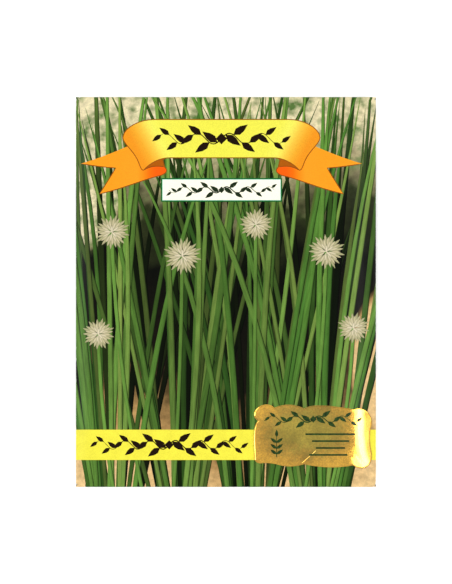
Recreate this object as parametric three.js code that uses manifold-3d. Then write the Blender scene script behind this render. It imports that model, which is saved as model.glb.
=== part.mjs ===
import * as THREE from 'three';
import { mergeVertices } from 'three/addons/utils/BufferGeometryUtils.js';
import Module from 'manifold-3d';

// A sealed paper seed packet, lying on its back. Millimetres.
// x runs across the packet, y towards its top edge, z up out of its printed front.

// Packet
const WIDTH = 100;
const HEIGHT = 130;
const PAPER = 0.2;
const GLUE_LINE = 0.08;
const SIDE_FOLD_RADIUS = 0.35;
const FRONT_BULGE = 2.4;
const BULGE_POWER_ACROSS = 7;
const BULGE_POWER_ALONG = 12;
const LAP = 12;
const LAP_EASE = 8;
const LAP_EASE_END = 1;
const FLAP = 13;
const FLAP_TAPER = 0.09;
const BACK_SETBACK = 0.5;
const FLAT_HALF_WIDTH = 34;
const FLAT_HALF_LENGTH = 36;
const SIDE_LIFT = 0.6;
const END_LIFT = 1.2;

// Where the sheet may bend, out from its middle line, and the steps in which a fold turns
const FRONT_BENDS = [0, 8, 16, 24, 32, 38, 42.5, 46, 48.3];
const PANEL_BENDS = [14, 24, 34, 42];
const LAP_BEND = 10;
const BODY_BENDS = [0, 12, 24, 34, 42, 48, 53, 57, 60, 62.3];
const SIDE_FOLD_STEPS = 4;
const END_FOLD_STEPS = 6;
const FLAP_STEPS = 4;

// Sticker: its outline starts at a point, and each run gives a curve's handles and its end
const STICKER_CENTRE = [29.1, -48];
const STICKER_HALF = [20.6, 11.5];
const STICKER_THICKNESS = 0.15;
const STICKER_GAP = 0.25;
const STICKER_COLUMNS = 16;
const STICKER_ROWS = 8;
const OUTLINE_STEPS = 6;
const OUTLINE_START = [-12.7, 9.2];
const OUTLINE_RUNS = [
  [[-8.1, 11.6], [-3.0, 9.2]],
  [[-0.5, 10.9], [6.0, 10.2], [13.4, 8.9]],
  [[17.0, 10.8], [20.9, 7.0], [19.1, 2.2]],
  [[20.1, -1.0], [19.3, -4.6]],
  [[20.6, -9.6], [17.0, -12.4], [13.2, -9.8]],
  [[5.5, -11.3], [-3.1, -9.4]],
  [[-7.7, -10.9], [-12.3, -9.4]],
  [[-15.0, -8.8], [-17.4, -9.1]],
  [[-19.0, -9.2], [-19.3, -7.6]],
  [[-19.6, -3.0], [-19.9, 3.4], [-18.5, 5.0]],
  [[-21.2, 9.2], [-15.6, 13.2], [-12.7, 9.2]],
];

// Seeds: half sizes of one, how much one may be smaller or larger, and how far it may tilt (radians)
const SEED_HALF = [0.95, 1.5, 0.62];
const SEED_SPREAD = 0.15;
const SEED_TILT = 0.25;
const SEED_SIDES = 6;
const SEED_RINGS = 2;
const SEED_COUNT = 70;
const HEAP_HALF = [27, 18];
const HEAP_CENTRE = [0, -12];
const HEAP_REST = 0.8;
const HEAP_CORE = 0.5;
const HEAP_SIDES = 28;
const GOLDEN_ANGLE = Math.PI * (3 - Math.sqrt(5));
const SPIRAL_SWAY = 0.4;

// Random numbers: a linear congruential generator
const RANDOM_SEED = 41;
const RANDOM_FACTOR = 1664525;
const RANDOM_STEP = 1013904223;
const RANDOM_RANGE = 2 ** 32;

// Looks
const PRINTED_PAPER = { color: 0x5a8135, roughness: 0.35, metalness: 0 };
const GOLD_FOIL = { color: 0xb8953d, roughness: 0.3, metalness: 0.9 };
const SEED_COAT = { color: 0x1c1a18, roughness: 0.7, metalness: 0 };

// Levels that follow from those sizes. A level is that of the middle of the sheet.
const LAYER = PAPER + GLUE_LINE;
const FOLD_X = WIDTH / 2 - PAPER / 2 - SIDE_FOLD_RADIUS;
const END_FOLD_RADIUS = SIDE_FOLD_RADIUS + LAYER / 2;
const FOLD_Y = HEIGHT / 2 - PAPER / 2 - END_FOLD_RADIUS;
const BACK_END_Y = FOLD_Y - BACK_SETBACK;
const CORNER_SPREAD = WIDTH / 2 / FOLD_X;

// 0 up to the start, then a smooth rise that reaches 1 at the end.
function rise(distance, start, end) {
  return Math.max(0, (Math.abs(distance) - start) / (end - start)) ** 2;
}

function backLevel(x, y) {
  const sides = SIDE_LIFT * rise(x, FLAT_HALF_WIDTH, FOLD_X);
  const ends = END_LIFT * rise(y, FLAT_HALF_LENGTH, FOLD_Y);
  return PAPER / 2 + sides + ends;
}

function frontLevel(x, y) {
  const across = 1 - Math.min(1, Math.abs(x / FOLD_X)) ** BULGE_POWER_ACROSS;
  const along = 1 - Math.min(1, Math.abs(y / FOLD_Y)) ** BULGE_POWER_ALONG;
  return backLevel(FOLD_X, y) + 2 * SIDE_FOLD_RADIUS + FRONT_BULGE * across * along;
}

// The panel under the lap lies one layer higher there, and eases down beside it.
function innerPanelLevel(x, y) {
  const ease = THREE.MathUtils.smoothstep(x, -LAP / 2 - LAP_EASE, -LAP / 2 - LAP_EASE_END);
  return backLevel(x, y) + LAYER * ease;
}

// A column of the sheet gives the point of the sheet on a given row.
function backColumn(x, level) {
  return { isFront: false, at: (y) => [x, level(x, y)] };
}

function frontColumn(x) {
  return { isFront: true, x, at: (y) => [x, frontLevel(x, y)] };
}

// Columns of a side fold from the back up to, and without, the front: half a turn.
function sideFold(side) {
  const columns = [];
  for (let i = 0; i < SIDE_FOLD_STEPS; i += 1) {
    const angle = -Math.PI / 2 + (Math.PI * i) / SIDE_FOLD_STEPS;
    columns.push({
      isFront: false,
      at: (y) => [
        side * (FOLD_X + SIDE_FOLD_RADIUS * Math.cos(angle)),
        backLevel(FOLD_X, y) + SIDE_FOLD_RADIUS * (1 + Math.sin(angle)),
      ],
    });
  }
  return columns;
}

function mirrored(half) {
  return [...half.slice(1).reverse().map((place) => -place), ...half];
}

// From the panel end under the lap, round the front, to the panel end over it.
function sheetColumns() {
  const lap = [LAP / 2, 0, -LAP / 2];
  const inner = [...lap, -LAP_BEND, ...PANEL_BENDS.map((x) => -x)];
  const outer = [...[...PANEL_BENDS].reverse(), ...lap];
  return [
    ...inner.map((x) => backColumn(x, innerPanelLevel)),
    ...sideFold(-1),
    ...mirrored([...FRONT_BENDS, FOLD_X]).map(frontColumn),
    ...sideFold(1).reverse(),
    ...outer.map((x) => backColumn(x, backLevel)),
  ];
}

// Rows of the tube, then of the front panel's end fold and flap at one end.
function bodyRows() {
  return mirrored([...BODY_BENDS, BACK_END_Y]).map((y) => ({
    isFlap: false,
    place: (column) => {
      const [x, z] = column.at(y);
      return new THREE.Vector3(x, y, z);
    },
  }));
}

function endFoldPoint(column, end, angle) {
  return new THREE.Vector3(
    column.x * CORNER_SPREAD,
    end * (FOLD_Y + END_FOLD_RADIUS * Math.cos(angle)),
    frontLevel(column.x, FOLD_Y) - END_FOLD_RADIUS * (1 - Math.sin(angle)),
  );
}

function flapPoint(column, end, share) {
  const x = column.x * CORNER_SPREAD * (1 - FLAP_TAPER * share);
  const y = FOLD_Y - share * FLAP;
  return new THREE.Vector3(x, end * y, backLevel(x, y) - LAYER);
}

function flapRows(end) {
  const rows = [];
  for (let i = 0; i < END_FOLD_STEPS; i += 1) {
    const angle = Math.PI / 2 - (Math.PI * i) / END_FOLD_STEPS;
    rows.push({ isFlap: true, place: (column) => endFoldPoint(column, end, angle) });
  }
  for (let i = 0; i <= FLAP_STEPS; i += 1) {
    const share = i / FLAP_STEPS;
    rows.push({ isFlap: true, place: (column) => flapPoint(column, end, share) });
  }
  return rows;
}

// Unit normal of a grid of points, from its neighbours along and across.
function gridNormal(points, i, j) {
  const column = (a) => (points[a] && points[a][j] ? points[a][j] : points[i][j]);
  const row = (b) => (points[i][b] ? points[i][b] : points[i][j]);
  const across = new THREE.Vector3().subVectors(column(i + 1), column(i - 1));
  const along = new THREE.Vector3().subVectors(row(j + 1), row(j - 1));
  return across.cross(along).normalize();
}

// Both sides of a grid of points, half a thickness off it. A point's number is that of its upper side,
// and its lower side comes next. A missing point has no number.
function thickPoints(points, thickness) {
  const positions = [];
  const ids = points.map((line, i) => line.map((point, j) => {
    if (!point) {
      return -1;
    }
    const offset = gridNormal(points, i, j).multiplyScalar(thickness / 2);
    positions.push(...point.clone().add(offset).toArray());
    positions.push(...point.clone().sub(offset).toArray());
    return positions.length / 3 - 2;
  }));
  return { positions, ids };
}

function cellCorners(ids, i, j) {
  const places = [[i, j], [i + 1, j], [i + 1, j + 1], [i, j + 1]];
  const corners = places.map(([a, b]) => (ids[a] ? ids[a][b] : undefined));
  return corners.every((corner) => corner >= 0) ? corners : null;
}

// The two faces of one cell, and a rim along each edge that has no cell beyond it.
function cellTriangles(ids, i, j) {
  const corners = cellCorners(ids, i, j);
  if (!corners) {
    return [];
  }
  const [a, b, c, d] = corners;
  const index = [a, b, c, a, c, d, a + 1, c + 1, b + 1, a + 1, d + 1, c + 1];
  const neighbours = [[i, j - 1], [i + 1, j], [i, j + 1], [i - 1, j]];
  neighbours.forEach(([m, n], side) => {
    if (!cellCorners(ids, m, n)) {
      const from = corners[side];
      const to = corners[(side + 1) % corners.length];
      index.push(from, from + 1, to + 1, from, to + 1, to);
    }
  });
  return index;
}

// One closed body: the sheet through a grid of points. A missing point leaves its cells out.
function thickSheet(points, thickness) {
  const { positions, ids } = thickPoints(points, thickness);
  const index = ids.flatMap((line, i) => line.flatMap((_, j) => cellTriangles(ids, i, j)));
  const geometry = new THREE.BufferGeometry();
  geometry.setAttribute('position', new THREE.Float32BufferAttribute(positions, 3));
  geometry.setIndex(index);
  return geometry;
}

function envelopeGeometry() {
  const rows = [...flapRows(-1).reverse(), ...bodyRows(), ...flapRows(1)];
  const points = sheetColumns().map((column) => rows.map((row) => {
    const isMissing = row.isFlap && !column.isFront;
    return isMissing ? null : row.place(column);
  }));
  return thickSheet(points, PAPER);
}

// Exact joins and cuts

const wasm = await Module();
wasm.setup();

function toSolid(geometry) {
  const bare = new THREE.BufferGeometry();
  bare.setAttribute('position', geometry.getAttribute('position'));
  if (geometry.index) {
    bare.setIndex(geometry.index);
  }
  const merged = mergeVertices(bare);
  return new wasm.Manifold(new wasm.Mesh({
    numProp: 3,
    vertProperties: new Float32Array(merged.getAttribute('position').array),
    triVerts: new Uint32Array(merged.index.array),
  }));
}

function toGeometry(solid) {
  const mesh = solid.getMesh();
  const geometry = new THREE.BufferGeometry();
  geometry.setAttribute('position', new THREE.BufferAttribute(mesh.vertProperties, 3));
  geometry.setIndex(new THREE.BufferAttribute(mesh.triVerts, 1));
  return geometry;
}

// A round lobe at each corner but one, and shallow waves between them.
function stickerOutline() {
  const shape = new THREE.Shape();
  shape.moveTo(...OUTLINE_START);
  for (const run of OUTLINE_RUNS) {
    if (run.length === 2) {
      shape.quadraticCurveTo(...run.flat());
    } else {
      shape.bezierCurveTo(...run.flat());
    }
  }
  return shape;
}

// A sheet that follows the packet's front, a gap above it, wider than the sticker all round.
function stickerBlank() {
  const [cx, cy] = STICKER_CENTRE;
  const [halfWidth, halfHeight] = STICKER_HALF;
  const clearance = PAPER / 2 + STICKER_GAP + STICKER_THICKNESS / 2;
  const points = [];
  for (let i = 0; i <= STICKER_COLUMNS; i += 1) {
    const x = cx + halfWidth * ((2 * i) / STICKER_COLUMNS - 1);
    const line = [];
    for (let j = 0; j <= STICKER_ROWS; j += 1) {
      const y = cy + halfHeight * ((2 * j) / STICKER_ROWS - 1);
      line.push(new THREE.Vector3(x, y, frontLevel(x, y) + clearance));
    }
    points.push(line);
  }
  return thickSheet(points, STICKER_THICKNESS);
}

function stickerGeometry() {
  const punch = new THREE.ExtrudeGeometry(stickerOutline(), {
    depth: 4 * FRONT_BULGE,
    bevelEnabled: false,
    curveSegments: OUTLINE_STEPS,
  });
  punch.translate(...STICKER_CENTRE, -FRONT_BULGE);
  return toGeometry(toSolid(stickerBlank()).intersect(toSolid(punch)));
}

function randomFrom(seed) {
  let state = seed;
  return () => {
    state = (Math.imul(state, RANDOM_FACTOR) + RANDOM_STEP) >>> 0;
    return state / RANDOM_RANGE;
  };
}

// A seed: an angular grain, longer than wide and flat below, turned as it fell.
function seedSolid(x, y, z, random) {
  const either = (spread) => spread * (2 * random() - 1);
  const grain = new THREE.SphereGeometry(1, SEED_SIDES, SEED_RINGS);
  const size = 1 + either(SEED_SPREAD);
  grain.scale(...SEED_HALF.map((half) => half * size));
  grain.rotateX(either(SEED_TILT));
  grain.rotateY(either(SEED_TILT));
  grain.rotateZ(2 * Math.PI * random());
  grain.computeBoundingBox();
  grain.translate(x, y, z - grain.boundingBox.min.z);
  return toSolid(grain);
}

// Seeds lie in a spiral that fills an oval, as thick as one seed, on a thinner core that holds them.
function seedsGeometry() {
  const random = randomFrom(RANDOM_SEED);
  const [cx, cy] = HEAP_CENTRE;
  const [reachX, reachY] = HEAP_HALF.map((half) => half - SEED_HALF[1]);
  const core = new THREE.CylinderGeometry(1, 1, HEAP_CORE, HEAP_SIDES);
  core.rotateX(Math.PI / 2);
  core.scale(reachX, reachY, 1);
  core.translate(cx, cy, HEAP_REST + SEED_HALF[2]);
  let heap = toSolid(core);
  for (let i = 0; i < SEED_COUNT; i += 1) {
    const share = Math.sqrt((i + 0.5) / SEED_COUNT);
    const angle = i * GOLDEN_ANGLE + SPIRAL_SWAY * random();
    const x = cx + reachX * share * Math.cos(angle);
    const y = cy + reachY * share * Math.sin(angle);
    heap = heap.add(seedSolid(x, y, HEAP_REST, random));
  }
  return toGeometry(heap);
}

function mesh(name, geometry, looks) {
  const part = new THREE.Mesh(geometry, new THREE.MeshStandardMaterial(looks));
  part.name = name;
  return part;
}

const packet = new THREE.Group();
packet.add(mesh('envelope', envelopeGeometry(), PRINTED_PAPER));
packet.add(mesh('gold_sticker', stickerGeometry(), GOLD_FOIL));
packet.add(mesh('seeds', seedsGeometry(), SEED_COAT));

export default packet;
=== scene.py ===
import math
import random

import bpy
import numpy as np
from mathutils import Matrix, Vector
from mathutils.geometry import delaunay_2d_cdt


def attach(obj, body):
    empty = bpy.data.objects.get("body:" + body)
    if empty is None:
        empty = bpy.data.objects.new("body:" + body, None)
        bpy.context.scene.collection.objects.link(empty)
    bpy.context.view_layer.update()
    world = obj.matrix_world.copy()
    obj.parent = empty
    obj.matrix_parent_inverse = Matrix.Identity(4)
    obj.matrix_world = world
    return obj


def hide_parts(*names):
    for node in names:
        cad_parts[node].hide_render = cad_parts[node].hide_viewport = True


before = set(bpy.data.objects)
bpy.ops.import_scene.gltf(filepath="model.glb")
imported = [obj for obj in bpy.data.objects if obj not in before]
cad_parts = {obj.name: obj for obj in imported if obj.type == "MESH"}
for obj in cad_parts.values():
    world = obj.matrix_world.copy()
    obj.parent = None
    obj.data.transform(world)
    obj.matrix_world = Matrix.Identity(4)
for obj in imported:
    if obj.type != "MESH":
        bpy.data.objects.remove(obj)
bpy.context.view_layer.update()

# A sealed paper seed packet that lies on its back: x across, y to its top edge, z out of its front.
# Shapes are worked out in millimetres and made in metres.
MM = 0.001

# The packet, the bulge of its front, and how it spreads at its corners: the higher a power, the nearer the
# folds the front turns down, and the nearer the corners it spreads
WIDTH = 100
HEIGHT = 130
PAPER = 0.2
GLUE_LINE = 0.08
SIDE_FOLD_RADIUS = 0.35
FRONT_BULGE = 2.4
BULGE_POWER_ACROSS = 7
BULGE_POWER_ALONG = 12
CORNER_POWER = 15

# Its back: the lap seam up its middle and the flap at each end, and where it lifts off the table
LAP = 12
LAP_EASE = 8
LAP_CLEAR = 1
FLAP = 13
FLAP_TAPER = 0.09
BACK_SHORT = 0.5
FLAT_HALF_WIDTH = 34
FLAT_HALF_LENGTH = 36
SIDE_LIFT = 0.6
END_LIFT = 1.2

# What follows from those, for the middle of the paper
LAYER = PAPER + GLUE_LINE
FOLD_X = WIDTH / 2 - PAPER / 2 - SIDE_FOLD_RADIUS
END_FOLD_RADIUS = SIDE_FOLD_RADIUS + LAYER / 2
FOLD_Y = HEIGHT / 2 - PAPER / 2 - END_FOLD_RADIUS
BACK_END_Y = FOLD_Y - BACK_SHORT
SIDE_TURN = math.pi * SIDE_FOLD_RADIUS
END_TURN = math.pi * END_FOLD_RADIUS
PANEL = FOLD_X + LAP / 2
CORNER_SPREAD = WIDTH / 2 - FOLD_X

# The sticker, the middle and reach of the dull olive reflection painted into its foil's colour, and the ink
# on it
STICKER_CENTRE = (29.1, -48)
STICKER_HALF = (19.6, 10.5)
STICKER_THICKNESS = 0.12
STICKER_LIFT = 0.1
PAINTED_DULL_MIDDLE = ((27, -46), (19, 12))
INK_THICKNESS = 0.02
INK_GAP = 0.005

# A patch of pale cloth and one of tan board behind the leaves, and where the leaves lie in each other's
# shade: middle and reach
CLOTH = ((-50, 42), (20, 34))
BOARD = ((56, -24), (17, 30))
SHADE = ((-2, -18), (34, 56))


# -------------------- view and light

# The picture's height in pixels and their size, and how far the camera stands beside and above the packet
IMAGE_HEIGHT = 584
MM_PER_PIXEL = 1 / 3
VIEW_X = 0.02
CAMERA_HEIGHT = 600


def set_view():
    """Looks straight down, without perspective."""
    camera = bpy.data.objects.new("camera", bpy.data.cameras.new("camera"))
    bpy.context.scene.collection.objects.link(camera)
    camera.data.type = "ORTHO"
    camera.data.ortho_scale = IMAGE_HEIGHT * MM_PER_PIXEL * MM
    camera.location = (VIEW_X * MM, 0, CAMERA_HEIGHT * MM)
    bpy.context.scene.camera = camera
    bpy.context.scene.view_settings.view_transform = "Standard"


# Area lights: place and size in metres, and watts. Two soft boxes light the packet, and the left one glances
# off the left fold. The small ones show only in the foil: a bar with a bright core, a glow to its right that
# is dimmer at the top, and the light that the crease catches. The bar's lights step to the left twice, for
# the foil turns down towards the packet's end, and the bar has to look straight in it.
LIGHTS = {
    "left_softbox": ((-0.52, 0.0, 0.75), (0.2, 1.4), 5.4),
    "right_softbox": ((0.85, 0.0, 0.60), (0.5, 1.4), 4.2),
    "bar": ((0.321, 0.0, 0.75), (0.12, 0.07), 0.13),
    "bar_low": ((0.279, -0.045, 0.75), (0.105, 0.02), 0.033),
    "bar_foot": ((0.250, -0.0875, 0.75), (0.095, 0.065), 0.096),
    "bar_core": ((0.327, 0.0, 0.75), (0.065, 0.07), 0.070),
    "bar_core_low": ((0.275, -0.045, 0.75), (0.06, 0.02), 0.019),
    "glow": ((0.47, 0.06, 0.75), (0.20, 0.15), 0.17),
    "glow_top": ((0.47, -0.09, 0.75), (0.20, 0.15), 0.07),
    "glow_foot": ((0.36, -0.0825, 0.75), (0.13, 0.075), 0.07),
    "crease_light": ((0.30, -0.36, 0.75), (0.16, 0.34), 0.68),
}


def add_light(name, place, size, watts):
    """A rectangular light that faces the line down the middle of the packet."""
    lamp = bpy.data.lights.new(name, "AREA")
    lamp.shape = "RECTANGLE"
    lamp.size, lamp.size_y = size
    lamp.energy = watts
    light = bpy.data.objects.new(name, lamp)
    light.location = place
    light.rotation_euler = Vector((place[0], 0, place[2])).to_track_quat("Z", "X").to_euler()
    bpy.context.scene.collection.objects.link(light)


def set_light():
    """The area lights, in a pale room that is brighter overhead and low down."""
    for name, settings in LIGHTS.items():
        add_light(name, *settings)
    world = bpy.data.worlds.new("studio")
    bpy.context.scene.world = world
    room = Look(world, "Background", "Generated")
    heading = room.split(room.where)
    room.finish({"Color": room.ramp(heading["Z"], (
        (0.45, "#e3e3e3"), (0.65, "#888888"), (0.88, "#888888"), (0.97, "#e1e1e1")))})


# -------------------- materials

def linear(hex_colour):
    """An sRGB hex colour as linear red, green, blue and alpha."""
    parts = [int(hex_colour[i:i + 2], 16) / 255 for i in (1, 3, 5)]
    return [c / 12.92 if c <= 0.04045 else ((c + 0.055) / 1.055) ** 2.4 for c in parts] + [1]


# Nearly all of a noise lies in here
NOISE_SPAN = (0.3, 0.7)


class Look:
    """The shader nodes of a material or of the world, and the node that all the others lead to."""

    def __init__(self, owner, last_node, coordinates):
        owner.use_nodes = True
        self.owner = owner
        self.tree = owner.node_tree
        self.last = self.tree.nodes[last_node]
        self.where = self.add("TexCoord", {}).outputs[coordinates]

    def feed(self, node, inputs):
        """Gives a node's inputs their values, or links them to other nodes."""
        for key, value in inputs.items():
            if isinstance(value, bpy.types.Node):
                value = value.outputs[0]
            if isinstance(value, bpy.types.NodeSocket):
                self.tree.links.new(value, node.inputs[key])
            else:
                node.inputs[key].default_value = value

    def finish(self, inputs):
        """Feeds the last node, and gives back the material."""
        self.feed(self.last, inputs)
        return self.owner

    def add(self, kind, inputs, **settings):
        """A new node with its inputs and its settings."""
        node = self.tree.nodes.new("ShaderNode" + kind)
        for name, value in settings.items():
            setattr(node, name, value)
        self.feed(node, inputs)
        return node

    def split(self, vector):
        return self.add("SeparateXYZ", {0: vector}).outputs

    def attribute(self, name, output):
        return self.add("Attribute", {}, attribute_name=name).outputs[output]

    def calc(self, operation, *values):
        return self.add("Math", dict(enumerate(values)), operation=operation)

    def mix(self, share, first, second, kind="MIX"):
        return self.add("MixRGB", {"Fac": share, "Color1": first, "Color2": second}, blend_type=kind)

    def times(self, colour, number):
        return self.mix(1.0, colour, number, "MULTIPLY")

    def span(self, value, start=0.0, end=1.0, low=0.0, high=1.0):
        """Takes start to low and end to high, and no value past those."""
        return self.add("MapRange", {
            "Value": value, "From Min": start, "From Max": end, "To Min": low, "To Max": high})

    def ramp(self, share, stops):
        """A colour ramp. Each stop is a place on it and a colour."""
        node = self.add("ValToRGB", {0: share})
        elements = node.color_ramp.elements
        for k, (place, colour) in enumerate(stops):
            while len(elements) <= k:
                elements.new(1.0)
            elements[k].position = place
            elements[k].color = linear(colour)
        return node

    def bump(self, height):
        return self.add("Bump", {"Height": height, "Distance": 1.0})

    def mottle(self, feature, low, high, detail=3.0):
        """Soft random patches of a size in millimetres, as a number between low and high."""
        cloud = self.add("TexNoise", {"Vector": self.where, "Scale": 1 / (feature * MM), "Detail": detail})
        return self.span(cloud, *NOISE_SPAN, low, high)

    def away_from(self, middle, reach):
        """How far a place is from the middle of an oval: 0 there and 1 on the oval. All in millimetres."""
        centred = self.add("Mapping", {
            "Vector": self.where, "Location": (-middle[0] / reach[0], -middle[1] / reach[1], 0),
            "Scale": (1 / (reach[0] * MM), 1 / (reach[1] * MM), 0)})
        return self.add("VectorMath", {0: centred}, operation="LENGTH").outputs["Value"]


def new_look(name):
    return Look(bpy.data.materials.new(name), "Principled BSDF", "Object")


def new_ink(kind):
    return new_look(kind + " ink on coated paper")


def finish_paper(look, colour, roughness=0.22, gloss=0.055):
    """Clay-coated paper: a fine screen of ink dots, drawn twice as coarse as the real one so that it shows,
    slow waves that bend the gloss, and white fibre where a fold is rubbed."""
    screened = look.times(colour, look.mottle(0.3, 0.93, 1.07, detail=1))
    rub = look.calc("MULTIPLY", look.attribute("wear", "Fac"), look.mottle(1.1, 0.0, 1.0, detail=5))
    rubbed = look.mix(look.span(rub, 0.42, 0.62, high=0.8), screened, linear("#f0eee6"))
    waves = look.mottle(11, 0.0, 0.06 * MM, detail=1)
    tooth = look.mottle(0.3, 0.0, 0.002 * MM, detail=2)
    return look.finish({
        "Base Color": rubbed, "Roughness": roughness, "Specular IOR Level": gloss,
        "Normal": look.bump(look.calc("ADD", waves, tooth))})


# How a printed leaf is shaded: how far left of its middle it is lightest, from 0 to 1, and how late it
# turns dark towards its edges. The streaks are noise on these scales across and along the leaf, and the
# last number takes each leaf's streaks from another part of the noise.
LIT_LINE = 0.25
EDGE_POWER = 3.5
STREAK_SCALES = (1.5, 0.12, 90.0)


def leaf_ink():
    """Offset ink of round leaves: light along the left of each, dark at its edges, and streaked along it.
    Leaves further back are printed darker, though less so near the top. The panel's middle is darker too."""
    look = new_ink("green offset")
    leaf = look.attribute("leaf", "Vector")
    across, _, tint = look.split(leaf)
    hue = look.ramp(tint, ((0.0, "#477a2e"), (0.4, "#598835"), (0.75, "#69933e"), (1.0, "#849f4a")))
    off_light = look.calc("ABSOLUTE", look.calc("ADD", across, LIT_LINE))
    light = look.span(look.calc("POWER", off_light, EDGE_POWER), end=1.6, low=1.04, high=0.06)
    grain_place = look.add("VectorMath", {0: leaf, 1: STREAK_SCALES}, operation="MULTIPLY")
    grain = look.add("TexNoise", {"Vector": grain_place, "Scale": 1.5, "Detail": 3.0})
    streaks = look.span(grain, *NOISE_SPAN, 0.8, 1.2)
    aloft = look.span(look.split(look.where)["Y"], 30 * MM, 65 * MM, high=0.35)
    back = look.span(look.calc("ADD", look.attribute("depth", "Fac"), aloft), low=0.02)
    clouds = look.mottle(16, 0.82, 1.08, detail=1)
    shade = look.span(look.away_from(*SHADE), 0.5, 1.2, low=0.74)
    for share in (streaks, back, clouds, shade):
        light = look.calc("MULTIPLY", light, share)
    return finish_paper(look, look.times(hue, light))


def petal_ink():
    """Offset ink of small flower petals: cream, and greener towards the heart of each head."""
    look = new_ink("cream offset")
    across = look.split(look.attribute("leaf", "Vector"))["X"]
    light = look.span(look.calc("MULTIPLY", across, across), low=1.0, high=0.5)
    hue = look.ramp(look.attribute("depth", "Fac"), ((0.5, "#989a6a"), (0.7, "#c4ba92"), (1.0, "#dfd4b6")))
    return finish_paper(look, look.times(hue, light))


# The cloth and board patches fade out between these shares of their reach
SOFT_RIM = (0.75, 1.25)


def backdrop_ink():
    """Offset ink of the ground behind the leaves: pale cloth above, deep shade among the leaves,
    and tan boards at the foot and up the right side. Level runs from the boards, 0, to the cloth, 1."""
    look = new_ink("backdrop offset")
    x, y, _ = look.split(look.where)
    height = look.calc("MULTIPLY_ADD", y, 1 / (HEIGHT * MM), 0.5)
    swayed = look.calc("ADD", height, look.mottle(16, -0.07, 0.07))
    lift = look.span(look.calc("ABSOLUTE", x), end=45 * MM, low=0.16, high=0.0)
    level = look.calc("MULTIPLY_ADD", lift, look.calc("SUBTRACT", 1.0, height), swayed)
    cloth = look.span(look.away_from(*CLOTH), *SOFT_RIM, 0.95, 0.0)
    board = look.span(look.away_from(*BOARD), *SOFT_RIM, 0.05)
    level = look.calc("MINIMUM", look.calc("MAXIMUM", level, cloth), board)
    ground = look.ramp(level, (
        (0.0, "#dcbb84"), (0.14, "#c9a56e"), (0.22, "#a5824f"), (0.29, "#5f4b2c"), (0.37, "#120f08"),
        (0.6, "#060804"), (0.72, "#2a3018"), (0.82, "#9b906b"), (0.9, "#d2c69c"), (1.0, "#e0d4aa")))
    green = look.mix(look.mottle(4, -0.5, 1.0), ground, linear("#56733a"))
    ground = look.mix(look.span(level, 0.7, 0.85), ground, green)
    return finish_paper(look, look.times(ground, look.mottle(1.6, 0.8, 1.2, detail=5)))


def spot_ink(kind, colour):
    """A flat spot colour, a little uneven where the ink lies thicker."""
    look = new_ink(kind)
    return finish_paper(look, look.times(linear(colour), look.mottle(4, 0.94, 1.05, detail=4)))


def ribbon_ink(kind, stops, slant=0.0):
    """Ink that changes along a ribbon, both ways from its middle. Stops are millimetres from there, and the
    slant moves them out by that share of a place's height above the ribbon's middle."""
    look = new_ink(kind)
    x, y, _ = look.split(look.where)
    out = look.calc("ABSOLUTE", look.calc("SUBTRACT", x, RIBBON_X * MM))
    above = look.calc("SUBTRACT", y, RIBBON_MIDDLE * MM)
    start, end = stops[0][0], stops[-1][0]
    share = look.span(look.calc("MULTIPLY_ADD", above, -slant, out), start * MM, end * MM)
    return finish_paper(look, look.ramp(share, [
        ((place - start) / (end - start), colour) for place, colour in stops]))


def bare_paper(name, colour, roughness, gloss):
    """Unprinted paper: pulp white, with the faint cloudy look of its fibres."""
    look = new_look(name)
    tone = look.times(linear(colour), look.mottle(1.2, 0.95, 1.03, detail=6))
    return finish_paper(look, tone, roughness, gloss)


def gold_foil():
    """Gold-lacquered aluminium foil: a dull mirror under lacquer, with painted reflection in its colour, dull
    olive in the middle of the sticker and brighter and warmer outwards, and dimpled a little by the paper
    under it."""
    look = new_look("gold lacquered aluminium foil")
    # Painted reflection: the foil's colour is dull olive in the middle and brighter, warmer gold towards the
    # edges
    painted_reflection_warmth = look.calc("ADD", look.away_from(*PAINTED_DULL_MIDDLE), look.mottle(1.2, -0.15, 0.15, detail=5))
    gold = look.ramp(painted_reflection_warmth, ((0.35, "#cbb348"), (0.65, "#d6b048"), (0.85, "#f0ba49"), (1.0, "#ffc44a")))
    patched = look.times(gold, look.mottle(7, 0.6, 1.0))
    flecked = look.times(patched, look.mottle(0.5, 0.8, 1.15, detail=4))
    dimples = look.mottle(6, 0.0, 0.014 * MM, detail=1)
    fine = look.mottle(0.8, 0.0, 0.0012 * MM, detail=1)
    return look.finish({
        "Base Color": flecked, "Metallic": 1.0, "Roughness": look.mottle(1.5, 0.06, 0.1),
        "Coat Weight": 0.6, "Coat Roughness": 0.05, "Normal": look.bump(look.calc("ADD", dimples, fine))})


def foil_ink():
    """Dark green screen ink on the foil: thick enough to hide the metal, with a soft gloss."""
    look = new_look("dark green screen ink on foil")
    tone = look.ramp(look.mottle(0.8, 0.0, 1.0, detail=4), ((0.0, "#10240b"), (1.0, "#2f4c1c")))
    return look.finish({
        "Base Color": tone, "Roughness": 0.2, "Specular IOR Level": 0.15,
        "Normal": look.bump(look.mottle(0.4, 0.0, 0.003 * MM))})


def seed_coat():
    """A dry seed coat: near black, finely wrinkled, without gloss."""
    look = new_look("dry wrinkled seed coat")
    tone = look.ramp(look.mottle(0.8, 0.0, 1.0), ((0.0, "#12100f"), (1.0, "#38332d")))
    wrinkles = look.bump(look.mottle(0.35, 0.0, 0.04 * MM))
    return look.finish({"Base Color": tone, "Roughness": 0.75, "Normal": wrinkles})


def studio_card():
    """Matt white card on a light table: it glows a little, so that shadows on it stay faint."""
    look = new_look("matt white studio card")
    return look.finish({
        "Base Color": look.mottle(60, 0.90, 0.92), "Roughness": 0.9, "Specular IOR Level": 0.1,
        "Emission Color": (1, 1, 1, 1), "Emission Strength": 0.3})


# -------------------- how the flat sheet folds

def rise(distance, start, end):
    """0 up to the start, then a smooth rise that reaches 1 at the end."""
    return max(0.0, (abs(distance) - start) / (end - start)) ** 2


def smooth_step(value, start, end):
    t = min(1.0, max(0.0, (value - start) / (end - start)))
    return t * t * (3 - 2 * t)


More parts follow.
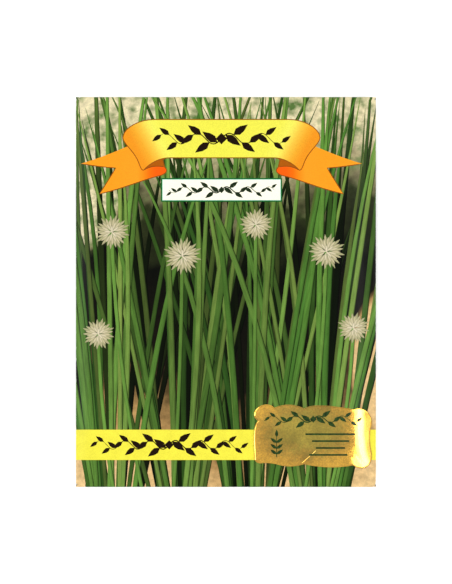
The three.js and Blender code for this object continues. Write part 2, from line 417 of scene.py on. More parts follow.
def back_level(x, y):
    """How high the middle of the back's paper lies: flat on the table, and lifted towards its edges."""
    sides = SIDE_LIFT * rise(x, FLAT_HALF_WIDTH, FOLD_X)
    ends = END_LIFT * rise(y, FLAT_HALF_LENGTH, FOLD_Y)
    return PAPER / 2 + sides + ends


def front_level(x, y):
    """How high the middle of the front's paper lies: it bulges over the seeds and meets the side folds."""
    across = 1 - min(1.0, abs(x / FOLD_X)) ** BULGE_POWER_ACROSS
    along = 1 - min(1.0, abs(y / FOLD_Y)) ** BULGE_POWER_ALONG
    return back_level(FOLD_X, y) + 2 * SIDE_FOLD_RADIUS + FRONT_BULGE * across * along


def spread(u):
    """The sheet is squeezed out at its corners, as wide as the side folds are."""
    return u + CORNER_SPREAD * (u / FOLD_X) ** CORNER_POWER


def fold_end(u, v):
    """A point of an end fold or of the flap beyond it."""
    end = math.copysign(1, v)
    past = abs(v) - FOLD_Y
    if past < END_TURN:
        turn = past / END_FOLD_RADIUS
        level = front_level(u, FOLD_Y) - END_FOLD_RADIUS * (1 - math.cos(turn))
        return Vector((spread(u), end * (FOLD_Y + END_FOLD_RADIUS * math.sin(turn)), level))
    down = past - END_TURN
    x = spread(u) * (1 - FLAP_TAPER * down / FLAP)
    y = FOLD_Y - down
    return Vector((x, end * y, back_level(x, y) - LAYER))


def fold(u, v):
    """Takes a point of the flat sheet to its place in the packet, in the middle of the paper."""
    if abs(v) > FOLD_Y:
        return fold_end(u, v)
    side = math.copysign(1, u)
    past = abs(u) - FOLD_X
    if past <= 0:
        near_end = max(0.0, (abs(v) - BACK_END_Y) / (FOLD_Y - BACK_END_Y))
        return Vector((u + (spread(u) - u) * near_end, v, front_level(u, v)))
    if past < SIDE_TURN:
        turn = past / SIDE_FOLD_RADIUS
        level = back_level(FOLD_X, v) + SIDE_FOLD_RADIUS * (1 + math.cos(turn))
        return Vector((side * (FOLD_X + SIDE_FOLD_RADIUS * math.sin(turn)), v, level))
    x = side * (FOLD_X - past + SIDE_TURN)
    under_lap = LAYER * smooth_step(x, -LAP / 2 - LAP_EASE, -LAP / 2 - LAP_CLEAR) if side < 0 else 0.0
    return Vector((x, v, back_level(x, v) + under_lap))


def fold_normal(u, v):
    """Unit direction that the printed side faces there."""
    step = 0.01
    along_u = fold(u + step, v) - fold(u - step, v)
    along_v = fold(u, v + step) - fold(u, v - step)
    return along_u.cross(along_v).normalized()


def sheet_lines():
    """Where the sheet may bend, across it and along it: closest where it bends most."""
    front = [0, 7, 14, 21, 27, 32, 36, 39, 41.5, 43.5, 45.2, 46.6, 47.8, 48.8, FOLD_X]
    turn = [FOLD_X + SIDE_TURN * k / 4 for k in range(1, 5)]
    panel = [turn[-1] + d for d in (1.7, 5, 10, 16, 26, 35.5, 37.5, 39.5, 41, 42.6, 43.6, FOLD_X, PANEL)]
    body = [0, 9, 18, 27, 34, 39, 43, 46.5, 49.5, 52, 54.2, 56.2, 58, 59.6, 61, 62.2, 63.2]
    body += [BACK_END_Y, FOLD_Y]
    end_turn = [FOLD_Y + END_TURN * k / 6 for k in range(1, 7)]
    flap = [end_turn[-1] + FLAP * k / 5 for k in range(1, 6)]
    lines = []
    for half in (front + turn + panel, body + end_turn + flap):
        lines.append([-place for place in half[:0:-1]] + half)
    return lines


def sheet_cells():
    """The flat sheet as triangles: the tube all along, and the flaps beyond the front panel only."""
    us, vs = sheet_lines()
    cells = []
    for a, b in zip(us, us[1:]):
        for c, d in zip(vs, vs[1:]):
            on_front = max(abs(a), abs(b)) <= FOLD_X
            on_tube = max(abs(c), abs(d)) <= BACK_END_Y
            if on_front or on_tube:
                cells.append([(a, c), (b, c), (b, d)])
                cells.append([(a, c), (b, d), (a, d)])
    return cells


# -------------------- outlines of the print

# The ribbon's middle and the edges of its front, the white label's sides with its inks from its edge in,
# the yellow band's edges, and how far the print runs on past the folds
RIBBON_X = -1.5
RIBBON_TOP = 57.5
RIBBON_BOTTOM = 44.75
RIBBON_MIDDLE = (RIBBON_TOP + RIBBON_BOTTOM) / 2
RIBBON_LINE = 0.3
LABEL = (-21.65, 30.1, 18.7, 38.0)
LABEL_INKS = ((0, "label green"), (0.45, "label mint"), (0.68, "label white"))
BAND = (-56.0, -45.9)
BAND_VINE_X = -18.9
BLEED = 2.6


class Shape:
    """A flat printed shape: its outline and ink, and for a leaf its middle line and half widths there."""

    def __init__(self, ring, ink, middle=None, halves=None, tint=0.5, depth=1.0):
        self.ring = ring
        self.ink = ink
        self.middle = middle
        self.halves = halves
        self.tint = tint
        self.depth = depth


def between(a, b, t):
    return (a[0] + (b[0] - a[0]) * t, a[1] + (b[1] - a[1]) * t)


def path(start, *runs, steps=8):
    """Points of a line of curves. Each run gives its handles, none to two, and its end."""
    points = [start]
    for run in runs:
        first = points[-1]
        for k in range(1, steps + 1) if len(run) > 1 else [steps]:
            controls = [first, *run]
            while len(controls) > 1:
                controls = [between(a, b, k / steps) for a, b in zip(controls, controls[1:])]
            points.append(controls[0])
    return points


def strip(middle, halves, ink, tint=0.5, depth=1.0):
    """A shape that reaches to both sides of a middle line."""
    left, right = [], []
    last = len(middle) - 1
    for k, ((x, y), half) in enumerate(zip(middle, halves)):
        before, after = middle[max(0, k - 1)], middle[min(last, k + 1)]
        dx, dy = after[0] - before[0], after[1] - before[1]
        reach = half / math.hypot(dx, dy)
        left.append((x - dy * reach, y + dx * reach))
        right.append((x + dy * reach, y - dx * reach))
    return Shape(left + right[::-1], ink, middle, halves, tint, depth)


def rectangle(x0, y0, x1, y1, ink):
    return Shape([(x0, y0), (x1, y0), (x1, y1), (x0, y1)], ink)


# A leaf: its pieces, its width at the root as a share of the full, how late it narrows and how late it bends,
# and the half width of its tip
LEAF_PIECES = 11
ROOT_WIDTH = 0.8
NARROWING_POWER = 5
BEND_POWER = 1.6
TIP_HALF = 0.05


def blade(root, lean, bend, length, width, tint, depth):
    """A long round leaf: it leaves its root at a lean, bends over as it grows, and ends in a point."""
    piece = length / LEAF_PIECES
    x, y = root
    middle, halves = [], []
    for k in range(LEAF_PIECES + 1):
        t = k / LEAF_PIECES
        middle.append((x, y))
        halves.append(max(TIP_HALF, width / 2 * min(1, ROOT_WIDTH + t) * (1 - t ** NARROWING_POWER)))
        angle = lean + bend * t ** BEND_POWER
        x += piece * math.sin(angle)
        y += piece * math.cos(angle)
    return strip(middle, halves, "leaf", tint, depth)


# Every run makes the same picture
PRINT_SEED = 11

# Leaf clumps: root x and y, how far to each side it spreads there, lean, fan and longest leaf
CLUMPS = (
    (-38, -76, 7, -0.01, 0.32, 158),
    (-15, -80, 7, -0.01, 0.34, 164),
    (9, -80, 7, 0.01, 0.34, 164),
    (31, -76, 7, 0.03, 0.34, 158),
)

# Leaves in each clump of a layer, and how near the front that layer is
LAYERS = ((13, 0.0), (11, 0.4), (11, 0.82))

# Flower heads: place, radius and lean of the stalk. Every head has the same petals, set as seeds are in a
# sunflower, and the stalks run off the panel's lower edge.
PETALS = 46
GOLDEN_ANGLE = math.pi * (3 - math.sqrt(5))
PETAL_HALVES = (0.12, 0.45, 0.38, 0.05)
STALK_HALF = 0.65
STALK_FOOT = -78
ROOT_LEVEL = -80
HEADS = (
    (-38.0, 20.0, 4.8, -0.16),
    (-14.5, 12.0, 5.2, 0.05),
    (10.0, 22.5, 4.5, 0.02),
    (33.5, 13.5, 5.0, 0.12),
    (42.5, -12.0, 4.3, 0.20),
    (-42.5, -14.0, 4.3, -0.14),
)


def clump_leaves(draw, clump, count, depth):
    """The leaves of one clump in one layer: each leans and bends the more, the further out it stands."""
    x, y, half_base, lean, fan, longest = clump
    leaves = []
    for _ in range(count):
        out = draw.uniform(-1, 1)
        leaves.append(blade(
            root=(x + half_base * out + draw.uniform(-2, 2), y),
            lean=lean + 0.6 * fan * out + draw.gauss(0, 0.05),
            bend=0.8 * fan * out + draw.gauss(0, 0.14),
            length=longest * draw.uniform(0.78, 1.08),
            width=draw.uniform(1.4, 2.2),
            tint=draw.random(),
            depth=min(1.0, max(0.0, depth + draw.uniform(-0.15, 0.15)))))
    return leaves


def flower(draw, x, y, radius, lean):
    """A round flower head of narrow petals on a bare stalk, the outermost petals lowest."""
    fall = y - ROOT_LEVEL
    foot = (x - 0.8 * fall * math.sin(lean), STALK_FOOT)
    bow = (x - 0.1 * fall * math.sin(lean), y - 0.5 * fall)
    stalk = path(foot, (bow, (x, y)), steps=12)
    shapes = [strip(stalk, [STALK_HALF] * len(stalk), "leaf", tint=0.7, depth=0.95)]
    for k in reversed(range(PETALS)):
        share = math.sqrt((k + 0.5) / PETALS)
        away = (math.sin(k * GOLDEN_ANGLE), math.cos(k * GOLDEN_ANGLE))
        size = radius * (0.30 + 0.18 * share)
        spine = [radius * share * 0.8 + size * s for s in (-0.45, 0.1, 0.55, 1.0)]
        middle = [(x + r * away[0], y + r * away[1]) for r in spine]
        tint = draw.random()
        shapes.append(strip(middle, PETAL_HALVES, "petal", tint, depth=1.0 - 0.45 * share))
    return shapes


def foliage():
    """Leaf clumps that grow up the panel from below its edge, in three layers, with flowers before them."""
    draw = random.Random(PRINT_SEED)
    shapes = []
    for layer in LAYERS:
        leaves = []
        for clump in CLUMPS:
            leaves += clump_leaves(draw, clump, *layer)
        draw.shuffle(leaves)
        shapes += leaves
    for head in HEADS:
        shapes += flower(draw, *head)
    return shapes


def ribbon_side(points, side):
    """Points that run out from the ribbon's middle, to its left, -1, or to its right, 1."""
    return [(RIBBON_X + side * x, y) for x, y in points]


def ribbon_line(points):
    return strip(points, [RIBBON_LINE / 2] * len(points), "ribbon line")


def ribbon():
    """A scroll: a flat front whose ends curl under and come out as two forked tails.
    Its outlines run out from the middle of the ribbon."""
    shoulder, elbow, tip = (22.6, RIBBON_TOP), (28.0, 44.1), (25.95, 40.6)
    inner_end, inner_foot = (18.9, 41.6), (20.1, 38.9)
    shade_top, line_top = (19.6, 43.9), (19.6, 44.2)
    curl = path(shoulder, ((27.0, 57.45), (32.45, 55.1), (32.85, 51.6)), ((33.05, 49.8), (29.6, 47.4), elbow),
                ((27.2, 42.4), (26.9, 40.5), tip))
    under = path(tip, ((23.6, 43.2), (20.4, RIBBON_BOTTOM), (17.2, RIBBON_BOTTOM)))
    roll = path(inner_end, ((21.4, 42.3), (24.0, 41.9), tip))
    fork = path(inner_end, ((18.2, 40.9), (17.6, 39.9), inner_foot), ((24.2, 37.9), (28.0, 36.5)),
                ((34.4, 34.2), (40.6, 32.7)), ((38.0, 36.8), (35.2, 41.35)), ((40.8, 41.7), (46.8, 42.8)),
                ((39.6, 44.9), (31.2, 48.6)))
    shapes = []
    for side in (-1, 1):
        shapes.append(Shape(ribbon_side(fork + [elbow] + roll[:0:-1], side), "ribbon tail"))
        shapes.append(ribbon_line(ribbon_side(fork, side)))
        shapes.append(Shape(ribbon_side(roll + under[1:-1] + [shade_top], side), "ribbon shade"))
        shapes.append(ribbon_line(ribbon_side([line_top] + roll, side)))
    left = ribbon_side(curl + under[1:], -1)
    right = ribbon_side(curl + under[1:], 1)
    shapes.append(Shape(left + right[::-1], "ribbon front"))
    for line in (left, right, [left[0], right[0]], [left[-1], right[-1]]):
        shapes.append(ribbon_line(line))
    return shapes


def leaflet(foot, heading, size, belly, ink):
    """A small leaf of an ornament. Belly is how wide it is at two places, all as shares of its size."""
    shares, halves = zip(*belly)
    middle = [(foot[0] + heading[0] * size * s, foot[1] + heading[1] * size * s) for s in (0, *shares, 1)]
    return strip(middle, [0.05, *(half * size for half in halves), 0.02], ink)


# A vine: the cuts and leaves of each wave, how thick its stem is at its ends and how much thicker in the
# middle, how far a leaf leans out, and its leaves' shape. Its swing, its lozenge and how much smaller its
# last leaves are go by the size of its first leaves.
VINE_CUTS = 16
VINE_LEAVES = 4
VINE_END = 0.06
VINE_SWELL = 0.14
VINE_LEAN = 0.95
VINE_BELLY = ((0.3, 0.21), (0.6, 0.18))
VINE_SWING = 0.28
VINE_LOZENGE = 0.3
VINE_SHRINK = 0.45


def vine(x, y, half, leaf, ink, waves):
    """A plain border ornament: a wavy stem with leaves to both sides in turn, and a lozenge at its middle."""
    def on_stem(t):
        return (x + half * t, y + VINE_SWING * leaf * math.sin(math.pi * waves * t))

    cuts = VINE_CUTS * waves
    places = [2 * k / cuts - 1 for k in range(cuts + 1)]
    halves = [VINE_END + VINE_SWELL * (1 - abs(t)) for t in places]
    shapes = [strip([on_stem(t) for t in places], halves, ink)]
    count = VINE_LEAVES * waves
    for k in range(count):
        t = (2 * k + 1) / count - 1
        lean = math.copysign(VINE_LEAN, t)
        up = 1 if k % 2 else -1
        heading = (math.sin(lean), up * math.cos(lean))
        size = leaf * (1 - VINE_SHRINK * abs(t))
        shapes.append(leaflet(on_stem(t), heading, size, VINE_BELLY, ink))
    size = VINE_LOZENGE * leaf
    shapes.append(Shape([(x - size, y), (x, y - size), (x + size, y), (x, y + size)], ink))
    return shapes


def panels():
    """The ribbon, the white label with its double border, and the yellow band, all without words."""
    shapes = ribbon() + vine(RIBBON_X, RIBBON_MIDDLE, half=21.4, leaf=6.4, ink="brown line", waves=4)
    x0, y0, x1, y1 = LABEL
    for inset, ink in LABEL_INKS:
        shapes.append(rectangle(x0 + inset, y0 + inset, x1 - inset, y1 - inset, ink))
    shapes += vine((x0 + x1) / 2, (y0 + y1) / 2, half=17.6, leaf=3.7, ink="label ink", waves=5)
    edge = FOLD_X + BLEED
    shapes.append(rectangle(-edge, BAND[0], edge, BAND[1], "band"))
    shapes += vine(BAND_VINE_X, (BAND[0] + BAND[1]) / 2, half=25.0, leaf=5.2, ink="brown line", waves=6)
    return shapes


# -------------------- the printed sheet

# Points of the print that lie nearer than this are one point
WELD = 0.004


def anticlockwise(ring):
    """The ring's points in the order that makes its face look up."""
    turn = sum(a[0] * b[1] - b[0] * a[1] for a, b in zip(ring, ring[1:] + ring[:1]))
    return ring if turn > 0 else ring[::-1]


def cut_plane(rings):
    """Cuts the plane along rings: its points, its triangles, and the rings that lie over each."""
    points, faces = [], []
    for ring in map(anticlockwise, rings):
        faces.append(list(range(len(points), len(points) + len(ring))))
        points += [Vector(point) for point in ring]
    cut = delaunay_2d_cdt(points, [], faces, 1, WELD, True)
    return np.array([tuple(point) for point in cut[0]]), cut[2], cut[5]


def weights_in(corners, points):
    """How much of each of three corners there is in each point; corners are (n, 3, 2)."""
    a, b, c = corners[:, 0], corners[:, 1], corners[:, 2]

    def cross(p, q):
        return p[:, 0] * q[:, 1] - p[:, 1] * q[:, 0]

    area = cross(b - a, c - a)
    of_b = cross(points - a, c - a) / area
    of_c = cross(b - a, points - a) / area
    return np.stack([1 - of_b - of_c, of_b, of_c], axis=1)


def leaf_place(shape, points):
    """Where points of a leaf lie: from -1 to 1 across it, and in millimetres along it."""
    middle, halves = np.array(shape.middle), np.array(shape.halves)
    start, step = middle[:-1], np.diff(middle, axis=0)
    length = np.hypot(step[:, 0], step[:, 1])
    reach = np.concatenate([[0], np.cumsum(length)])
    away = points[:, None, :] - start[None]
    share = np.clip((away * step).sum(-1) / length ** 2, 0, 1)
    off = away - share[..., None] * step
    near = np.hypot(off[..., 0], off[..., 1]).argmin(1)
    row = np.arange(len(points))
    share, off, step = share[row, near], off[row, near], step[near]
    side = (step[:, 1] * off[:, 0] - step[:, 0] * off[:, 1]) / length[near]
    half = halves[near] * (1 - share) + halves[near + 1] * share
    return np.clip(side / half, -1, 1), reach[near] + share * length[near]


def free_edges(triangles):
    """Directed edges with no triangle on their other side."""
    edges = {}
    for a, b, c in triangles:
        for edge in ((a, b), (b, c), (c, a)):
            if edges.pop(edge[::-1], None) is None:
                edges[edge] = True
    return list(edges)


class Sheet:
    """The flat sheet, cut along the print and ready to fold. Its outside has all the cuts; its inside
    has only the sheet's own triangles, with the outside's points along the free edges."""

    def __init__(self, cells, shapes):
        self.shapes = shapes
        self.corners = sorted({corner for cell in cells for corner in cell})
        number = {corner: k for k, corner in enumerate(self.corners)}
        self.cells = np.array([[number[corner] for corner in cell] for cell in cells])
        self.flat_corners = np.array(self.corners)
        points, triangles, over = cut_plane(cells + [shape.ring for shape in shapes])
        self.keep(points, triangles, over)
        self.place()
        self.line()

    def keep(self, points, triangles, over):
        """Keeps the triangles on the sheet, each with its cell and the topmost shape over it."""
        first = len(self.cells)
        kept = [k for k, ids in enumerate(over) if ids and min(ids) < first]
        self.cell_of = np.array([min(over[k]) for k in kept])
        self.top = np.array([max(over[k]) - first if first in over[k] else -1 for k in kept])
        used, renumbered = np.unique(np.array([triangles[k] for k in kept]), return_inverse=True)
        self.flat = points[used]
        self.triangles = renumbered.reshape(-1, 3)

    def place(self):
        """Folds the sheet's corners, and each cut point with the three corners of its cell."""
        middle = np.array([fold(*corner) for corner in self.corners])
        normal = np.array([fold_normal(*corner) for corner in self.corners])
        self.point_cell = np.zeros(len(self.flat), dtype=int)
        self.point_cell[self.triangles.ravel()] = np.repeat(self.cell_of, 3)
        ids = self.cells[self.point_cell]
        weights = weights_in(self.flat_corners[ids], self.flat)[..., None]
        self.outside = (weights * (middle + normal * PAPER / 2)[ids]).sum(1)
        self.inside = (weights * (middle - normal * PAPER / 2)[ids]).sum(1)
        self.inner_corners = middle - normal * PAPER / 2
        self.normal = (weights * normal[ids]).sum(1)
        self.normal /= np.linalg.norm(self.normal, axis=1)[:, None]
        self.corner_normal = normal

    def line(self):
        """Makes the inside's polygons and the rim between the two sides."""
        edges = free_edges(self.triangles.tolist())
        start = len(self.flat)
        inner, extras, added = {}, {}, []
        for point in sorted({a for a, _ in edges}):
            ids = self.cells[self.point_cell[point]]
            gaps = np.linalg.norm(self.flat_corners[ids] - self.flat[point], axis=1)
            if gaps.min() < WELD / 2:
                inner[point] = start + ids[gaps.argmin()]
                continue
            inner[point] = start + len(self.corners) + len(added)
            extras.setdefault(self.point_cell[point], []).append((inner[point], self.flat[point]))
            added.append(point)
        self.added = added
        self.lining = [
            self.lining_polygon(cell, extras.get(k, []), start) for k, cell in enumerate(self.cells)]
        self.rim = [(b, a, inner[a], inner[b]) for a, b in edges]
        self.rim_edges = edges

    def lining_polygon(self, cell, extras, start):
        """A cell of the inside, facing the other way, with each extra point on the edge nearest to it."""
        corners = self.flat_corners[cell]
        edges = np.roll(corners, -1, axis=0) - corners
        edges /= np.linalg.norm(edges, axis=1)[:, None]
        on_edge = [[], [], []]
        for number, point in extras:
            away = point - corners
            off = np.abs(edges[:, 0] * away[:, 1] - edges[:, 1] * away[:, 0])
            nearest = off.argmin()
            on_edge[nearest].append((float(edges[nearest] @ away[nearest]), number))
        ring = []
        for corner, points in zip(cell, on_edge):
            ring.append(start + corner)
            ring += [number for _, number in sorted(points)]
        return ring[::-1]


def sheet_mesh(sheet, name):
    """A closed mesh of the folded sheet, in metres."""
    points = np.concatenate([sheet.outside, sheet.inner_corners, sheet.inside[sheet.added]])
    faces = sheet.triangles.tolist() + sheet.lining + sheet.rim
    mesh = bpy.data.meshes.new(name)
    mesh.from_pydata((points * MM).tolist(), [], [tuple(map(int, face)) for face in faces])
    return mesh


def set_inks(mesh, sheet, inks):
    """Gives each outer triangle the ink of its topmost shape. Past the shapes, and inside, paper is bare."""
    names = list(inks)
    for material in inks.values():
        mesh.materials.append(material)
    table = np.array([names.index(shape.ink) for shape in sheet.shapes] + [names.index("paper outside")])
    index = np.full(len(mesh.polygons), names.index("paper inside"), dtype=np.int32)
    index[:len(sheet.triangles)] = table[sheet.top]
    mesh.polygons.foreach_set("material_index", index)


def set_leaf_attributes(mesh, sheet):
    """Writes each leaf's own coordinates, tint and depth on its triangles' corners."""
    leaf = np.zeros((len(mesh.loops), 3), dtype=np.float32)
    depth = np.ones(len(mesh.loops), dtype=np.float32)
    for number, shape in enumerate(sheet.shapes):
        rows = np.flatnonzero(sheet.top == number)
        if shape.middle is None or not len(rows):
            continue
        loops = (rows[:, None] * 3 + np.arange(3)).ravel()
        across, along = leaf_place(shape, sheet.flat[sheet.triangles[rows].ravel()])
        leaf[loops] = np.stack([across, along, np.full(len(loops), shape.tint)], axis=1)
        depth[loops] = shape.depth
    mesh.attributes.new("leaf", "FLOAT_VECTOR", "CORNER").data.foreach_set("vector", leaf.ravel())
    mesh.attributes.new("depth", "FLOAT", "CORNER").data.foreach_set("value", depth)


# Rubbing: how far it reaches to both sides of a fold and round a corner, and how strong it is there
SIDE_RUB_REACH = 0.45
END_RUB_REACH = 0.6
CORNER_RUB_REACH = 1.6
FOLD_RUB = 0.7
CORNER_RUB = 0.25


def set_wear(mesh, sheet):
    """Rubbing is strongest along the folds and at the four corners."""
    u, v = np.abs(sheet.flat[:, 0]), np.abs(sheet.flat[:, 1])
    side = np.exp(-((u - FOLD_X - SIDE_TURN / 2) / SIDE_RUB_REACH) ** 2)
    end = np.exp(-((v - FOLD_Y - END_TURN / 2) / END_RUB_REACH) ** 2)
    corner = np.exp(-(((u - FOLD_X) / CORNER_RUB_REACH) ** 2 + ((v - FOLD_Y) / CORNER_RUB_REACH) ** 2))
    wear = np.zeros(len(mesh.vertices), dtype=np.float32)
    wear[:len(u)] = np.clip(FOLD_RUB * np.maximum(side, end) + CORNER_RUB * corner, 0, 1)
    mesh.attributes.new("wear", "FLOAT", "POINT").data.foreach_set("value", wear)


def corner_points(mesh):
    """The number of the point at each corner of each face."""
    numbers = np.empty(len(mesh.loops), dtype=np.int32)
    mesh.loops.foreach_get("vertex_index", numbers)
    return numbers


# The UV map's square and the margin in it, in millimetres of paper, and the inside's scale and place in it
MAP_SIZE = 216.0
MAP_MARGIN = 1.5
INNER_MAP_SCALE = 0.3
INNER_MAP_V = 0.76


def set_map(mesh, sheet):
    """Lays the flat sheet out as the UV map, the inside smaller above it, and the rim just past the edges."""
    low = sheet.flat_corners.min(0) - MAP_MARGIN
    outer = (sheet.flat - low) / MAP_SIZE
    inner_flat = np.concatenate([sheet.flat_corners, sheet.flat[sheet.added]])
    inner = (inner_flat - low) / MAP_SIZE * INNER_MAP_SCALE + (0, INNER_MAP_V)
    uv = np.concatenate([outer, inner])[corner_points(mesh)]
    loop = len(mesh.loops) - 4 * len(sheet.rim)
    for a, b in sheet.rim_edges:
        along = sheet.flat[b] - sheet.flat[a]
        out = np.array([along[1], -along[0]]) / np.linalg.norm(along) * PAPER / MAP_SIZE
        uv[loop:loop + 4] = (outer[b], outer[a], outer[a] + out, outer[b] + out)
        loop += 4
    mesh.uv_layers.new(name="OFBake").data.foreach_set("uv", uv.astype(np.float32).ravel())


def set_normals(mesh, sheet):
    """Smooth normals from the fold itself, so that the cuts of the print never show in the gloss."""
    per_point = np.concatenate([sheet.normal, -sheet.corner_normal, -sheet.normal[sheet.added]])
    normals = per_point[corner_points(mesh)]
    loop = len(mesh.loops) - 4 * len(sheet.rim)
    for polygon in mesh.polygons[len(mesh.polygons) - len(sheet.rim):]:
        normals[loop:loop + 4] = polygon.normal
        loop += 4
    mesh.polygons.foreach_set("use_smooth", [True] * len(mesh.polygons))
    mesh.normals_split_custom_set(normals.tolist())


def envelope_inks():
    """What each shape of the print, and the bare paper outside and inside, is coloured with."""
    return {
        "backdrop": backdrop_ink(),
        "leaf": leaf_ink(),
        "petal": petal_ink(),
        "ribbon front": ribbon_ink("ribbon offset", (
            (0, "#e9e44c"), (17, "#e9e450"), (20.8, "#ebe75c"), (22.2, "#eede58"), (24.6, "#f0c042"),
            (27.3, "#eca52b"), (30, "#ea921f"), (34, "#ea931b")), slant=0.54),
        "ribbon tail": ribbon_ink("orange offset", (
            (17.5, "#f25a0c"), (21.8, "#f45e0c"), (24, "#f66e0c"), (26, "#f88a18"), (28, "#f89a22"),
            (47, "#f6981a"))),
        "ribbon shade": spot_ink("brown offset", "#a9570a"),
        "ribbon line": spot_ink("dark orange line", "#8c4a10"),
        "brown line": spot_ink("dark brown line", "#1c1006"),
        "label green": spot_ink("green line", "#14622c"),
        "label mint": spot_ink("mint offset", "#c8f0d7"),
        "label white": bare_paper(
            "unprinted white label on coated paper", "#fdfbe4", roughness=0.22, gloss=0.09),
        "label ink": spot_ink("green black line", "#1d2a18"),
        "band": spot_ink("yellow offset", "#eae144"),
        "paper outside": bare_paper("bare clay-coated paper", "#f4f2ea", roughness=0.38, gloss=0.2),
        "paper inside": bare_paper("bare uncoated paper", "#efece0", roughness=0.7, gloss=0.15),
    }


def envelope():
    """The folded packet, one sheet. Its print is cut into its outside, because a printed edge has to
    stay sharp, and every cut piece lies flat in the sheet's own triangles."""
    edge_u, edge_v = FOLD_X + BLEED, FOLD_Y + BLEED
    ground = rectangle(-edge_u, -edge_v, edge_u, edge_v, "backdrop")
    sheet = Sheet(sheet_cells(), [ground] + foliage() + panels())
    mesh = sheet_mesh(sheet, "packet_envelope")
    set_inks(mesh, sheet, envelope_inks())
    set_leaf_attributes(mesh, sheet)
    set_wear(mesh, sheet)
    set_map(mesh, sheet)
    set_normals(mesh, sheet)
    piece = bpy.data.objects.new("packet_envelope", mesh)
    bpy.context.scene.collection.objects.link(piece)
    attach(piece, "root")
    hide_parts("envelope")


# -------------------- the sticker

# A crease that starts sharp and runs out, and how the sticker is cut so that it bends: into columns and rows.
# Cuts nearer than the snap are one cut, and faces that meet at less than the smooth angle, in degrees, are
# shaded as one.
CREASE_START = Vector((25.2, -57.0))
CREASE_END = Vector((31.2, -51.7))
CREASE_HEIGHT = 0.045
CREASE_HALF = 0.16
STICKER_COLUMNS = 32
STICKER_ROWS = 16
CUT_SNAP = 0.001
SMOOTH_ANGLE = 8

# The sticker's rim: it is pressed down at its edge, and a raised line runs just inside that. Each step has
# how far it goes in, and how far up.
EDGE_DROP = 0.07
RIM_STEPS = ((0.11, EDGE_DROP), (0.05, 0.035), (0.04, 0.0), (0.09, -0.021), (0.08, -0.014))


def sticker_outline():
    """A round lobe at each corner but one, and shallow waves between them, from the sticker's middle."""
    ring = path(
        (-13.0, 9.4),
        ((-8.1, 11.6), (-3.0, 9.2)),
        ((-0.5, 10.9), (6.0, 10.2), (13.4, 8.9)),
        ((17.0, 10.4), (20.9, 7.0), (19.1, 2.2)),
        ((18.6, -1.0), (19.3, -4.6)),
        ((20.6, -9.6), (17.0, -12.4), (13.2, -9.8)),
        ((5.5, -11.3), (-3.1, -9.4)),
        ((-7.7, -10.9), (-12.3, -9.4)),
        ((-15.0, -8.8), (-17.4, -9.1)),
        ((-19.2, -9.2), (-19.6, -7.6)),
        ((-19.7, -3.5), (-20.6, 3.0), (-18.5, 5.0)),
        ((-22.8, 8.4), (-15.4, 12.6), (-13.0, 9.4)),
        steps=10)
    cx, cy = STICKER_CENTRE
    return [(cx + x, cy + y) for x, y in ring[:-1]]


def crease_height(point):
    """A short sharp ridge where the foil was once bent."""
    run = CREASE_END - CREASE_START
    away = point - CREASE_START
    share = min(1.0, max(0.0, away.dot(run) / run.length_squared))
    distance = (away - share * run).length
    return CREASE_HEIGHT * max(0.0, 1 - distance / CREASE_HALF) * (1 - share ** 4)


def flat_cut(name, ring):
    """A flat face with the ring's outline, facing up."""
    bpy.ops.object.select_all(action="DESELECT")
    bpy.ops.mesh.primitive_circle_add(vertices=len(ring), radius=1, fill_type="NGON")
    piece = bpy.context.object
    piece.name = name
    for vertex, (x, y) in zip(piece.data.vertices, anticlockwise(ring)):
        vertex.co = (x * MM, y * MM, 0)
    piece.data.update()
    return piece


def bisect_at(point, across):
    """Cuts all of the edited piece by an upright plane, so that it can bend there."""
    place = (point[0] * MM, point[1] * MM, 0)
    bpy.ops.mesh.select_all(action="SELECT")
    bpy.ops.mesh.bisect(plane_co=place, plane_no=(*across, 0), threshold=CUT_SNAP * MM)


def lay_on_front(piece, lift, thickness):
    """Bends a flat piece to the packet's front, a lift above the paper, and gives it its thickness."""
    (cx, cy), (w, h) = STICKER_CENTRE, STICKER_HALF
    across_crease = (CREASE_END - CREASE_START).orthogonal().normalized()
    bpy.ops.object.mode_set(mode="EDIT")
    for k in range(1, STICKER_COLUMNS):
        bisect_at((cx + w * (2 * k / STICKER_COLUMNS - 1), cy), (1, 0))
    for k in range(1, STICKER_ROWS):
        bisect_at((cx, cy + h * (2 * k / STICKER_ROWS - 1)), (0, 1))
    for side in (-1, 0, 1):
        bisect_at(CREASE_START + across_crease * side * CREASE_HALF, across_crease)
    for end in (CREASE_START, CREASE_END):
        bisect_at(end, across_crease.orthogonal())
    bpy.ops.object.mode_set(mode="OBJECT")
    for vertex in piece.data.vertices:
        point = vertex.co.xy / MM
        level = front_level(min(point.x, FOLD_X), point.y) + PAPER / 2 + crease_height(point)
        vertex.co.z += (level + lift + thickness) * MM
    solidify = piece.modifiers.new("thickness", "SOLIDIFY")
    solidify.thickness = thickness * MM
    solidify.offset = -1
    bpy.ops.object.modifier_apply(modifier="thickness")
    bpy.ops.object.shade_smooth_by_angle(angle=math.radians(SMOOTH_ANGLE))


def gold_sticker():
    """A die-cut foil sticker: its edge is pressed down, a raised line runs just inside that, and the rest is
    as flat as the packet is."""
    piece = flat_cut("foil_sticker", sticker_outline())
    bpy.ops.object.mode_set(mode="EDIT")
    bpy.ops.mesh.select_all(action="SELECT")
    for inward, up in RIM_STEPS:
        bpy.ops.mesh.inset(thickness=inward * MM, depth=up * MM)
    bpy.ops.object.mode_set(mode="OBJECT")
    lay_on_front(piece, STICKER_LIFT - EDGE_DROP, STICKER_THICKNESS)
    piece.data.materials.append(gold_foil())
    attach(piece, "root")
    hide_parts("gold_sticker")


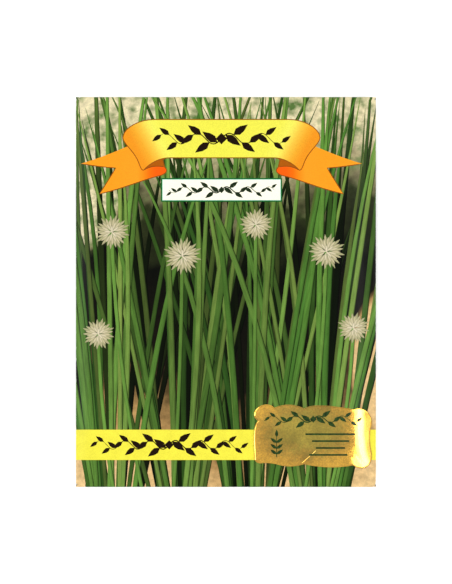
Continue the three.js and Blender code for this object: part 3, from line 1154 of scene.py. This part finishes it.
# The small plant: the half widths of its stem, where leaves leave it on both sides, which way those point,
# and their shape
STEM_HALVES = (0.16, 0.1)
PAIR_LEVELS = (0.72, 0.42, 0.14)
PAIR_HEADING = (0.8, 0.6)
SPRIG_BELLY = ((0.3, 0.2), (0.65, 0.17))


def sprig(x, y, height, leaf):
    """A small upright plant: a stem with a leaf at its top and pairs of leaves below it."""
    shapes = [strip([(x, y), (x, y + height)], STEM_HALVES, "ink")]
    shapes.append(leaflet((x, y + height), (0, 1), leaf, SPRIG_BELLY, "ink"))
    aside, up = PAIR_HEADING
    for level in PAIR_LEVELS:
        for side in (-1, 1):
            shapes.append(leaflet((x, y + height * level), (aside * side, up), leaf, SPRIG_BELLY, "ink"))
    return shapes


# The marks' places, from the sticker's middle: the vine, the plant's foot, and the rules from the top down,
# where each starts and ends
VINE_UP = 5.6
PLANT_FOOT = (-12.2, -7.0)
RULES = ((-2.6, 14.0), (-0.4, 12.0), (0.8, 10.6), (-1.4, 11.4))
FIRST_RULE = 0.6
RULE_STEP = 2.3
RULE_HALF = 0.3


def sticker_print():
    """Plain marks on the foil: a vine over the top, a small plant to the left and rules to the right."""
    cx, cy = STICKER_CENTRE
    marks = vine(cx, cy + VINE_UP, half=15.5, leaf=3.9, ink="ink", waves=4)
    marks += sprig(cx + PLANT_FOOT[0], cy + PLANT_FOOT[1], height=6.6, leaf=2.6)
    for k, (start, end) in enumerate(RULES):
        level = cy + FIRST_RULE - RULE_STEP * k
        marks.append(strip([(cx + start, level), (cx + end, level)], [RULE_HALF, RULE_HALF], "ink"))
    parts = [flat_cut("sticker_print", mark.ring) for mark in marks]
    for part in parts:
        part.select_set(True)
    bpy.ops.object.join()
    piece = bpy.context.object
    piece.name = "sticker_print"
    lay_on_front(piece, STICKER_LIFT + STICKER_THICKNESS + INK_GAP, INK_THICKNESS)
    piece.data.materials.append(foil_ink())
    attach(piece, "root")


# -------------------- all of it

# The floor lies a hair below the packet, so that no two faces share a plane
FLOOR_GAP = 0.05
FLOOR_SIDE = 3000


def studio_floor():
    bpy.ops.object.select_all(action="DESELECT")
    bpy.ops.mesh.primitive_plane_add(size=FLOOR_SIDE * MM, location=(0, 0, -FLOOR_GAP * MM))
    floor = bpy.context.object
    floor.name = "floor"
    floor.data.materials.append(studio_card())


def finish_seeds():
    """The seeds keep their shape from the frame and get their coat's look."""
    coat = seed_coat()
    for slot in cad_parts["seeds"].material_slots:
        slot.material = coat


set_view()
set_light()
studio_floor()
envelope()
gold_sticker()
sticker_print()
finish_seeds()
